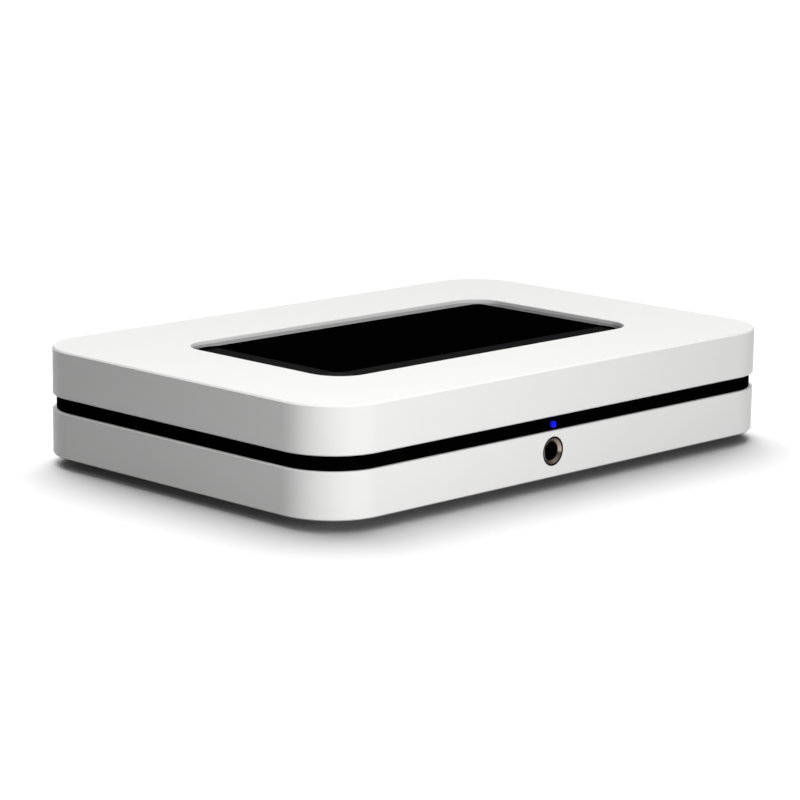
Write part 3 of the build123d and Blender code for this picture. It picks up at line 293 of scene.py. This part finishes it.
def solid_boxes(name):
    """The lowest and highest corners of each separate solid of a node."""
    mesh = bmesh.new()
    mesh.from_mesh(nodes[name].data)
    bmesh.ops.remove_doubles(mesh, verts=mesh.verts, dist=WELD)
    waiting = set(mesh.verts)
    boxes = []
    while waiting:
        growing = [waiting.pop()]
        found = []
        while growing:
            vert = growing.pop()
            found.append(vert.co.copy())
            for edge in vert.link_edges:
                other = edge.other_vert(vert)
                if other in waiting:
                    waiting.discard(other)
                    growing.append(other)
        low = Vector(min(point[axis] for point in found) for axis in range(3))
        high = Vector(max(point[axis] for point in found) for axis in range(3))
        boxes.append((low, high))
    mesh.free()
    return sorted(boxes, key=lambda corners: tuple(corners[0]))


def middles(boxes):
    """The middle of each box."""
    return [(low + high) / 2 for low, high in boxes]


def ring_point(centre, axis, radius, along, turn):
    """A point at a radius and a height along the axis, turned about it."""
    across = radius * math.cos(turn)
    rise = radius * math.sin(turn)
    if axis == "Y":
        return (centre.x + across, along, centre.z + rise)
    return (centre.x + across, centre.y + rise, along)


def dome(radius, edge, tip):
    """The quarter round from the edge of a round piece to its tip, as (radius, height) points."""
    turns = [step / DOME_STEPS * QUARTER_TURN for step in range(DOME_STEPS + 1)]
    return [(radius * math.cos(turn), edge + (tip - edge) * math.sin(turn)) for turn in turns]


def lathe(name, profile, centres, axis="Y"):
    """Turns a closed profile of (radius, height) points about one or more centres."""
    points = []
    faces = []
    count = len(profile)
    for centre in centres:
        start = len(points)
        for side in range(SIDES):
            turn = FULL_TURN * side / SIDES
            points += [ring_point(centre, axis, radius, along, turn) for radius, along in profile]
        for side in range(SIDES):
            here = start + side * count
            there = start + (side + 1) % SIDES * count
            for step in range(count):
                after = (step + 1) % count
                faces.append((here + step, here + after, there + after, there + step))
    mesh = bpy.data.meshes.new(name)
    mesh.from_pydata(points, [], faces)
    cleaned = bmesh.new()
    cleaned.from_mesh(mesh)
    bmesh.ops.remove_doubles(cleaned, verts=cleaned.verts, dist=WELD)
    bmesh.ops.dissolve_degenerate(cleaned, edges=cleaned.edges, dist=WELD)
    bmesh.ops.recalc_face_normals(cleaned, faces=cleaned.faces)
    cleaned.to_mesh(mesh)
    cleaned.free()
    mesh.shade_smooth()
    mesh.set_sharp_from_angle(angle=SHARP)
    return link(bpy.data.objects.new(name, mesh))


def stand_in(piece, material, node):
    """Shows a finer piece on the case in place of a node."""
    piece.data.materials.append(material)
    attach(piece, "case")
    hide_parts(node)


def addition(piece, material):
    """Adds a small piece to the case."""
    piece.data.materials.append(material)
    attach(piece, "case")


def facing(place, target):
    """The turn of a lamp at a place that shines at a target."""
    return (Vector(target) - Vector(place)).to_track_quat("-Z", "Y").to_euler()


def soft_box(name, place, target, power):
    """A square area light that faces a target."""
    light = bpy.data.lights.new(name, "AREA")
    light.shape = "SQUARE"
    light.size = BOX_SIDE
    light.energy = power
    lamp = link(bpy.data.objects.new(name, light))
    lamp.location = place
    lamp.rotation_euler = facing(place, target)
    lamp.visible_camera = False
    lamp.visible_glossy = False
    return lamp


# Materials of the outside
white_shell = moulded("white_shell", (0.8, 0.797, 0.793), 0.38, spread=SHELL_SPREAD)
black_band = moulded("black_band", (0.0006, 0.0006, 0.0006), 0.8, specular=0.0)
black_glass = moulded("black_glass", (0.0006, 0.0006, 0.0007), 0.05, grain=GLASS_GRAIN, depth=GLASS_DEPTH)
jack_metal = moulded("jack_metal", (0.5, 0.42, 0.36), 0.3, metallic=1.0)
jack_black = moulded("jack_black", (0.003, 0.003, 0.003), 0.5, specular=0.1)
panel_black = moulded("panel_black", (0.018, 0.018, 0.019), 0.55, depth=PANEL_DEPTH)
rubber = moulded("rubber", (0.02, 0.02, 0.02), 0.8, specular=0.2)
lens_low, lens_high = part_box("status_lens")
lens_middle, lens_r = middle_and_radius(lens_low, lens_high)
blue_lens = glowing_lens("blue_lens", lens_middle, lens_r)

# Materials of the rear sockets
socket_black = moulded("socket_black", (0.012, 0.012, 0.013), 0.45)
socket_grey = moulded("socket_grey", (0.05, 0.05, 0.052), 0.45)
nickel = moulded("nickel", (0.7, 0.68, 0.64), 0.25, metallic=1.0)
gold = moulded("gold", (0.85, 0.62, 0.25), 0.25, metallic=1.0)
insert_red = moulded("insert_red", (0.5, 0.015, 0.015), 0.35)
insert_white = moulded("insert_white", (0.75, 0.75, 0.73), 0.35)
insert_black = moulded("insert_black", (0.015, 0.015, 0.015), 0.35)
red_lens = moulded("red_lens", (0.4, 0.01, 0.01), 0.2)
shine(red_lens, (1.0, 0.02, 0.01), 0.6)

# Materials of the inside
steel = moulded("steel", (0.5, 0.5, 0.51), 0.35, metallic=1.0)
aluminium = moulded("aluminium", (0.6, 0.6, 0.61), 0.4, metallic=1.0)
board_green = moulded("board_green", (0.008, 0.1, 0.05), 0.4)
chip_black = moulded("chip_black", (0.02, 0.02, 0.02), 0.5)
sheet_grey = moulded("sheet_grey", (0.3, 0.3, 0.3), 0.6)
cable_white = moulded("cable_white", (0.7, 0.7, 0.68), 0.5)
cable_grey = moulded("cable_grey", (0.25, 0.25, 0.26), 0.5)
cable_black = moulded("cable_black", (0.02, 0.02, 0.02), 0.5)
socket_cream = moulded("socket_cream", (0.65, 0.6, 0.48), 0.5)
ferrite = moulded("ferrite", (0.04, 0.04, 0.042), 0.7)
tape_yellow = moulded("tape_yellow", (0.7, 0.5, 0.06), 0.45)
can_black = moulded("can_black", (0.02, 0.02, 0.03), 0.3)
choke_grey = moulded("choke_grey", (0.2, 0.21, 0.22), 0.4)
fuse_glass = moulded("fuse_glass", (0.6, 0.62, 0.6), 0.1)
dark_lens = moulded("dark_lens", (0.02, 0.01, 0.02), 0.1)

dress(white_shell, "top_shell", "bottom_shell")
dress(black_band, "center_band", "glass_tape")
dress(black_glass, "touch_glass")
dress(rubber, "feet")
dress(steel, "case_screws", "board_screws")
dress(panel_black, "rear_panel")
dress(socket_black, "power_inlet", "lan_socket", "usb_tongue", "hdmi_tongue", "optical_output")
dress(socket_black, "mini_jack_sockets", "rca_block")
dress(jack_black, "headphone_body")
dress(socket_grey, "optical_shutter")
dress(nickel, "inlet_pins", "lan_shield", "usb_shell", "hdmi_shell", "shield_can", "fuse_clips")
dress(gold, "rca_sleeves", "lan_contacts", "headphone_contacts")
dress(jack_metal, "headphone_sleeve")
dress(aluminium, "heat_sink", "power_heat_sink")
dress(insert_red, "rca_insert_right")
dress(insert_white, "rca_insert_left", "status_led")
dress(insert_black, "rca_insert_digital", "rca_insert_bass")
dress(board_green, "front_board", "main_board", "power_board", "touch_board")
dress(chip_black, "processor", "board_chips", "power_transistor")
dress(sheet_grey, "insulation_sheet")
dress(cable_white, "touch_ribbon")
dress(cable_grey, "front_cable", "power_cable")
dress(cable_black, "aerials", "aerial_leads")
dress(socket_cream, "cable_sockets")
dress(ferrite, "transformer_core")
dress(tape_yellow, "transformer_winding")
dress(can_black, "bulk_capacitor", "small_capacitors")
dress(choke_grey, "mains_choke")
dress(fuse_glass, "mains_fuse")
dress(red_lens, "optical_emitter")
dress(dark_lens, "infrared_receiver")
dress(blue_lens, "status_lens")

# Headphone socket: bevelled metal sleeve, and a black ring in the gap in the wall around it, which is
# painted shade standing in for the shadow in that gap
sleeve_low, sleeve_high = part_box("headphone_sleeve")
sleeve_middle, sleeve_r = middle_and_radius(sleeve_low, sleeve_high)
sleeve = lathe("headphone_ring", [
    (sleeve_r, sleeve_high.y),
    (sleeve_r, sleeve_low.y + SHADE_RING_DEPTH),
    (sleeve_r - SLEEVE_LAND, sleeve_low.y + SHADE_RING_DEPTH),
    (sleeve_r - SLEEVE_LAND, sleeve_low.y + SLEEVE_LIP),
    (sleeve_r - SLEEVE_LAND - SLEEVE_LIP, sleeve_low.y),
    (SLEEVE_BORE + SLEEVE_LIP, sleeve_low.y + SLEEVE_BEVEL),
    (SLEEVE_BORE, sleeve_low.y + SLEEVE_BEVEL + SLEEVE_LIP),
    (SLEEVE_BORE, sleeve_high.y),
], [sleeve_middle])
stand_in(sleeve, jack_metal, "headphone_sleeve")
# Black ring in the gap between sleeve and wall: painted shade, darkening the gap as if it lay in shadow
gap_shade_in = sleeve_r - SLEEVE_LAND + SHADE_RING_GAP
gap_shade_ring = lathe("headphone_rim", [
    (gap_shade_in, sleeve_low.y + SHADE_RING_SINK),
    (gap_shade_in + SHADE_RING_W, sleeve_low.y + SHADE_RING_SINK),
    (gap_shade_in + SHADE_RING_W, sleeve_low.y + SHADE_RING_DEPTH - SHADE_RING_GAP),
    (gap_shade_in, sleeve_low.y + SHADE_RING_DEPTH - SHADE_RING_GAP),
], [sleeve_middle])
addition(gap_shade_ring, jack_black)

# Lamp: a lens with a domed tip
lens_dome = dome(lens_r, lens_low.y + LENS_RISE, lens_low.y)
lens = lathe("lamp_lens", [(0.0, lens_high.y), (lens_r, lens_high.y)] + lens_dome, [lens_middle])
stand_in(lens, blue_lens, "status_lens")

# Phono sockets: sleeves with rounded lips, and inserts with a countersunk pin hole
phono_boxes = solid_boxes("rca_sleeves")
phono_low, phono_high = phono_boxes[0]
phono_r = middle_and_radius(phono_low, phono_high)[1]
phono_bore = middle_and_radius(*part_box(INSERTS[0]))[1]
phono_sleeves = lathe("phono_sleeves", [
    (phono_r, phono_low.y),
    (phono_r, phono_high.y - PHONO_LIP),
    (phono_r - PHONO_LIP / 2, phono_high.y),
    (phono_bore + PHONO_LIP, phono_high.y),
    (phono_bore + PHONO_SLACK, phono_high.y - PHONO_LIP),
    (phono_bore + PHONO_SLACK, phono_low.y),
], middles(phono_boxes))
stand_in(phono_sleeves, gold, "rca_sleeves")
for insert_name in INSERTS:
    insert_low, insert_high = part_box(insert_name)
    insert = lathe(insert_name + "_turned", [
        (0.0, insert_low.y),
        (phono_bore, insert_low.y),
        (phono_bore, insert_high.y - PHONO_LIP),
        (phono_bore - PHONO_LIP, insert_high.y),
        (PIN_HOLE_R + SINK_R, insert_high.y),
        (PIN_HOLE_R, insert_high.y - SINK_R),
        (PIN_HOLE_R, insert_high.y - PIN_HOLE_L),
        (0.0, insert_high.y - PIN_HOLE_L),
    ], [(insert_low + insert_high) / 2])
    stand_in(insert, nodes[insert_name].data.materials[0], insert_name)

# Small jack sockets: a round collar in the mouth of each
jack_boxes = solid_boxes("mini_jack_sockets")
jack_face = jack_boxes[0][1].y
collars = lathe("small_jack_collars", [
    (COLLAR_BORE, jack_face - COLLAR_L),
    (COLLAR_BORE, jack_face + COLLAR_PROUD / 2),
    (COLLAR_BORE + COLLAR_PROUD, jack_face + COLLAR_PROUD),
    (COLLAR_R - COLLAR_PROUD, jack_face + COLLAR_PROUD),
    (COLLAR_R, jack_face + WELD),
], middles(jack_boxes))
addition(collars, socket_grey)

# Mains pins with domed tips
pin_boxes = solid_boxes("inlet_pins")
pin_low, pin_high = pin_boxes[0]
pin_r = middle_and_radius(pin_low, pin_high)[1]
pin_dome = dome(pin_r, pin_high.y - pin_r, pin_high.y)
pins = lathe("mains_pins", [(0.0, pin_low.y), (pin_r, pin_low.y)] + pin_dome, middles(pin_boxes))
stand_in(pins, nickel, "inlet_pins")

# Feet with a rounded edge and a shallow hollow under each
foot_boxes = solid_boxes("feet")
foot_low, foot_high = foot_boxes[0]
foot_r = middle_and_radius(foot_low, foot_high)[1]
rubber_feet = lathe("rubber_feet", [
    (0.0, foot_low.z + FOOT_HOLLOW),
    (foot_r - FOOT_TREAD - FOOT_HOLLOW, foot_low.z + FOOT_HOLLOW),
    (foot_r - FOOT_TREAD, foot_low.z),
    (foot_r - FOOT_EDGE, foot_low.z),
    (foot_r - FOOT_TURN, foot_low.z + FOOT_TURN),
    (foot_r, foot_low.z + FOOT_EDGE),
    (foot_r, foot_high.z),
    (0.0, foot_high.z),
], middles(foot_boxes), axis="Z")
stand_in(rubber_feet, rubber, "feet")

# Floor: white, and without a bounce onto the object
half = FLOOR_SIZE / 2
corners = [(-half, -half, 0.0), (half, -half, 0.0), (half, half, 0.0), (-half, half, 0.0)]
floor_mesh = bpy.data.meshes.new("floor")
floor_mesh.from_pydata(corners, [], [(0, 1, 2, 3)])
floor = link(bpy.data.objects.new("floor", floor_mesh))
floor_material, floor_tree, floor_shader = new_material("floor")
floor_tint = ramp(floor_tree, noise(floor_tree, FLOOR_GRAIN), (0.96, 0.96, 0.96), (0.98, 0.98, 0.98))
floor_tree.links.new(floor_tint, floor_shader.inputs["Base Color"])
floor_shader.inputs["Roughness"].default_value = 0.9
floor_shader.inputs["Specular IOR Level"].default_value = 0.1
floor_mesh.materials.append(floor_material)
floor.visible_diffuse = False

# World: white above, dark towards the horizon
world = bpy.data.worlds.new("studio")
world.use_nodes = True
sky = world.node_tree
height = sky.nodes.new("ShaderNodeSeparateXYZ")
sky.links.new(sky.nodes.new("ShaderNodeTexCoord").outputs["Generated"], height.inputs["Vector"])
rise = sky.nodes.new("ShaderNodeMapRange")
rise.inputs["From Min"].default_value = SKY_LOW
rise.inputs["From Max"].default_value = SKY_HIGH
rise.inputs["To Max"].default_value = SKY_LIGHT
sky.links.new(height.outputs["Z"], rise.inputs["Value"])
sky.links.new(rise.outputs["Result"], sky.nodes["Background"].inputs["Strength"])
sky.nodes["Background"].inputs["Color"].default_value = (1.0, 1.0, 1.0, 1.0)
bpy.context.scene.world = world
bpy.context.scene.view_settings.view_transform = "Standard"

# Lamps: a wide soft sun above and behind, two low boxes for object and floor,
# and two higher boxes for the object alone
lit = bpy.data.collections.new("lit_object")
for obj in bpy.data.objects:
    if obj.type == "MESH" and obj is not floor:
        lit.objects.link(obj)

sun_light = bpy.data.lights.new("overhead", "SUN")
sun_light.energy = SUN_POWER
sun_light.angle = SUN_ANGLE
sun = link(bpy.data.objects.new("overhead", sun_light))
sun.rotation_euler = facing(SUN_FROM, (0.0, 0.0, 0.0))
sun.visible_glossy = False
soft_box("front_low", FRONT_LOW, FRONT_LOW_AIM, FRONT_LOW_POWER)
soft_box("left_low", LEFT_LOW, LEFT_LOW_AIM, LEFT_LOW_POWER)
front_light = soft_box("front_light", FRONT_BOX, FRONT_AIM, FRONT_POWER)
left_light = soft_box("left_light", LEFT_BOX, LEFT_AIM, LEFT_POWER)
front_light.light_linking.receiver_collection = lit
left_light.light_linking.receiver_collection = lit

# Camera
azimuth = math.radians(CAMERA_AZIMUTH)
elevation = math.radians(CAMERA_ELEVATION)
roll = math.radians(CAMERA_ROLL)
reach = math.cos(elevation)
back = Vector((math.sin(azimuth) * reach, -math.cos(azimuth) * reach, math.sin(elevation)))
level = Vector((math.cos(azimuth), math.sin(azimuth), 0.0))
right = level * math.cos(roll) + back.cross(level) * math.sin(roll)
up = back.cross(right)
camera_place = TARGET + back * CAMERA_DISTANCE
back = (camera_place - (TARGET - right * AIM_LEFT + up * AIM_UP)).normalized()
right = (right - back * right.dot(back)).normalized()
up = back.cross(right)
turned = Matrix((right, up, back)).transposed().to_4x4()
camera_data = bpy.data.cameras.new("camera")
camera_data.lens = CAMERA_LENS_MM
camera_data.sensor_width = SENSOR_MM
camera = link(bpy.data.objects.new("camera", camera_data))
camera.matrix_world = Matrix.Translation(camera_place) @ turned
bpy.context.scene.camera = camera
